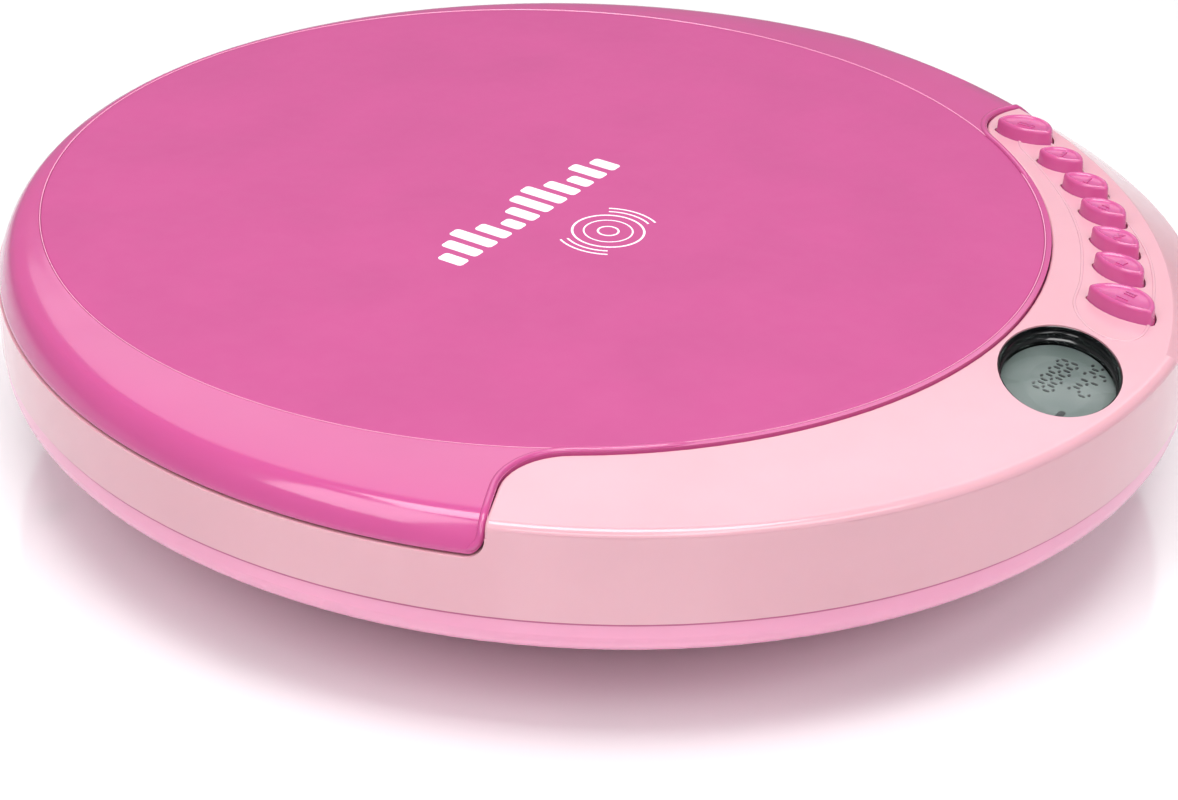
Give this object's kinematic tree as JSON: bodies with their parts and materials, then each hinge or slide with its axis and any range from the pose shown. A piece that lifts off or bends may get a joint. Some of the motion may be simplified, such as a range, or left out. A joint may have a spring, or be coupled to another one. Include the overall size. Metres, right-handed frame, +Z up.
{
  "type": "portable disc player",
  "caption": "Round battery-powered portable disc player with a hinged lid, a crescent control deck, push keys, a small display and a disc drive inside.",
  "frame": {"origin": "centre of the round case, on the surface that the rubber feet stand on", "axes": "+Z up, -Y towards the display and the front of the control deck, +X to the user's right, lid hinge at +Y"},
  "size_m": [0.142, 0.142, 0.0285],
  "materials": {
    "case_pink": "glossy light pink moulding",
    "deck_pink": "glossy pale pink moulding",
    "lid_pink": "glossy deep pink moulding",
    "inlay_pink": "satin deep pink sheet",
    "liner_pink": "matt deep pink moulding",
    "key_pink": "deep pink keycap",
    "black_rubber": "matt rubber",
    "screw_steel": "black zinc",
    "shaft_steel": "ground steel",
    "spring_steel": "spring wire",
    "bezel_black": "piano black",
    "clear_window": "clear acrylic",
    "lcd_grey": "liquid crystal panel",
    "board_green": "solder mask",
    "switch_black": "moulded switch",
    "white_acetal": "natural acetal",
    "chip_black": "moulded package",
    "jack_black": "moulded socket",
    "cell_jacket": "printed jacket",
    "contact_plate": "nickel plate",
    "chassis_black": "glass-filled plastic",
    "motor_steel": "plated can",
    "hub_black": "moulded hub",
    "ball_steel": "polished ball",
    "carriage_metal": "die-cast",
    "lens_glass": "coated lens"
  },
  "bodies": {
    "case": {"lower_case": "case_pink", "upper_case": "deck_pink", "disc_deck": "liner_pink", "rubber_feet": "black_rubber", "case_screws": "screw_steel", "lid_bumpers": "black_rubber", "hinge_pins": "shaft_steel", "hinge_springs": "spring_steel", "display_bezel": "bezel_black", "display_window": "clear_window", "lcd_panel": "lcd_grey", "lcd_frame": "bezel_black", "key_board": "board_green", "key_switches": "switch_black", "latch_spring": "spring_steel", "main_board": "board_green", "board_components": "chip_black", "headphone_jack": "jack_black", "power_inlet": "jack_black", "volume_control": "chip_black", "lid_switch": "switch_black", "battery_cells": "cell_jacket", "battery_contacts": "contact_plate", "battery_springs": "contact_plate", "mech_chassis": "chassis_black", "mech_dampers": "black_rubber", "mech_screws": "screw_steel", "spindle_motor": "motor_steel", "guide_rods": "shaft_steel", "sled_motor": "motor_steel"},
    "lid": {"lid_shell": "lid_pink", "lid_liner": "liner_pink", "lid_inlay": "inlay_pink"},
    "latch": {"latch_slider": "white_acetal"},
    "volume": {"volume_wheel": "key_pink"},
    "door": {"battery_door": "case_pink"},
    "lid_sense": {"lid_switch_plunger": "white_acetal"},
    "spindle": {"spindle_shaft": "shaft_steel", "turntable": "hub_black", "turntable_pad": "black_rubber", "hub_balls": "ball_steel"},
    "sled": {"pickup_carriage": "carriage_metal", "carriage_rack": "white_acetal"},
    "lens": {"lens_holder": "hub_black", "objective_lens": "lens_glass"},
    "drive_gear": {"sled_gear": "white_acetal"},
    "pinion": {"motor_pinion": "white_acetal"},
    "open_key_body": {"open_key": "key_pink"},
    "program_key_body": {"program_key": "key_pink"},
    "mode_key_body": {"mode_key": "key_pink"},
    "forward_key_body": {"forward_key": "key_pink"},
    "back_key_body": {"back_key": "key_pink"},
    "stop_key_body": {"stop_key": "key_pink"},
    "play_key_body": {"play_key": "key_pink"}
  },
  "joints": [
    {"name": "lid_hinge", "type": "hinge", "parent": "case", "child": "lid", "pos_m": [0, 0.066, 0.018], "axis": [-1, 0, 0], "range_deg": [0, 60]},
    {"name": "open_key_press", "type": "slide", "parent": "case", "child": "open_key_body", "axis": [0, 0, -1], "range_m": [0, 0.0012], "stiffness_N_per_m": 300, "springref_m": -0.0003},
    {"name": "program_key_press", "type": "slide", "parent": "case", "child": "program_key_body", "axis": [0, 0, -1], "range_m": [0, 0.0005], "stiffness_N_per_m": 400, "springref_m": -0.0003},
    {"name": "mode_key_press", "type": "slide", "parent": "case", "child": "mode_key_body", "axis": [0, 0, -1], "range_m": [0, 0.0005], "stiffness_N_per_m": 400, "springref_m": -0.0003},
    {"name": "forward_key_press", "type": "slide", "parent": "case", "child": "forward_key_body", "axis": [0, 0, -1], "range_m": [0, 0.0005], "stiffness_N_per_m": 400, "springref_m": -0.0003},
    {"name": "back_key_press", "type": "slide", "parent": "case", "child": "back_key_body", "axis": [0, 0, -1], "range_m": [0, 0.0005], "stiffness_N_per_m": 400, "springref_m": -0.0003},
    {"name": "stop_key_press", "type": "slide", "parent": "case", "child": "stop_key_body", "axis": [0, 0, -1], "range_m": [0, 0.0005], "stiffness_N_per_m": 400, "springref_m": -0.0003},
    {"name": "play_key_press", "type": "slide", "parent": "case", "child": "play_key_body", "axis": [0, 0, -1], "range_m": [0, 0.0005], "stiffness_N_per_m": 400, "springref_m": -0.0003},
    {"name": "latch_slide", "type": "slide", "parent": "case", "child": "latch", "axis": [0.5635, 0.8261, 0], "range_m": [0, 0.0012]},
    {"name": "spindle_spin", "type": "hinge", "parent": "case", "child": "spindle", "pos_m": [0, 0.008, 0.02], "axis": [0, 0, -1], "continuous": true},
    {"name": "sled_slide", "type": "slide", "parent": "case", "child": "sled", "axis": [0, -1, 0], "range_m": [0, 0.034]},
    {"name": "lens_focus", "type": "slide", "parent": "sled", "child": "lens", "axis": [0, 0, 1], "range_m": [-0.0004, 0.0004], "stiffness_N_per_m": 60},
    {"name": "drive_gear_spin", "type": "hinge", "parent": "case", "child": "drive_gear", "pos_m": [-0.029, -0.024, 0.0134], "axis": [0, 0, 1], "range_deg": [-325, 0]},
    {"name": "pinion_spin", "type": "hinge", "parent": "case", "child": "pinion", "pos_m": [-0.0375, -0.024, 0.0134], "axis": [0, 0, 1], "range_deg": [0, 780]},
    {"name": "volume_turn", "type": "hinge", "parent": "case", "child": "volume", "pos_m": [0.06239, 0.01556, 0.0158], "axis": [0, 0, 1], "range_deg": [0, 270]},
    {"name": "battery_door_slide", "type": "slide", "parent": "case", "child": "door", "axis": [0, 1, 0], "range_m": [0, 0.033]},
    {"name": "lid_sense_press", "type": "slide", "parent": "case", "child": "lid_sense", "axis": [0, 0, -1], "range_m": [0, 0.0005], "stiffness_N_per_m": 150, "springref_m": -0.0003}
  ],
  "couplings": [
    {"joint": "latch_slide", "follows": "open_key_press", "ratio": 1},
    {"joint": "drive_gear_spin", "follows": "sled_slide", "rad_per_m": -166.67},
    {"joint": "pinion_spin", "follows": "sled_slide", "rad_per_m": 400}
  ]
}
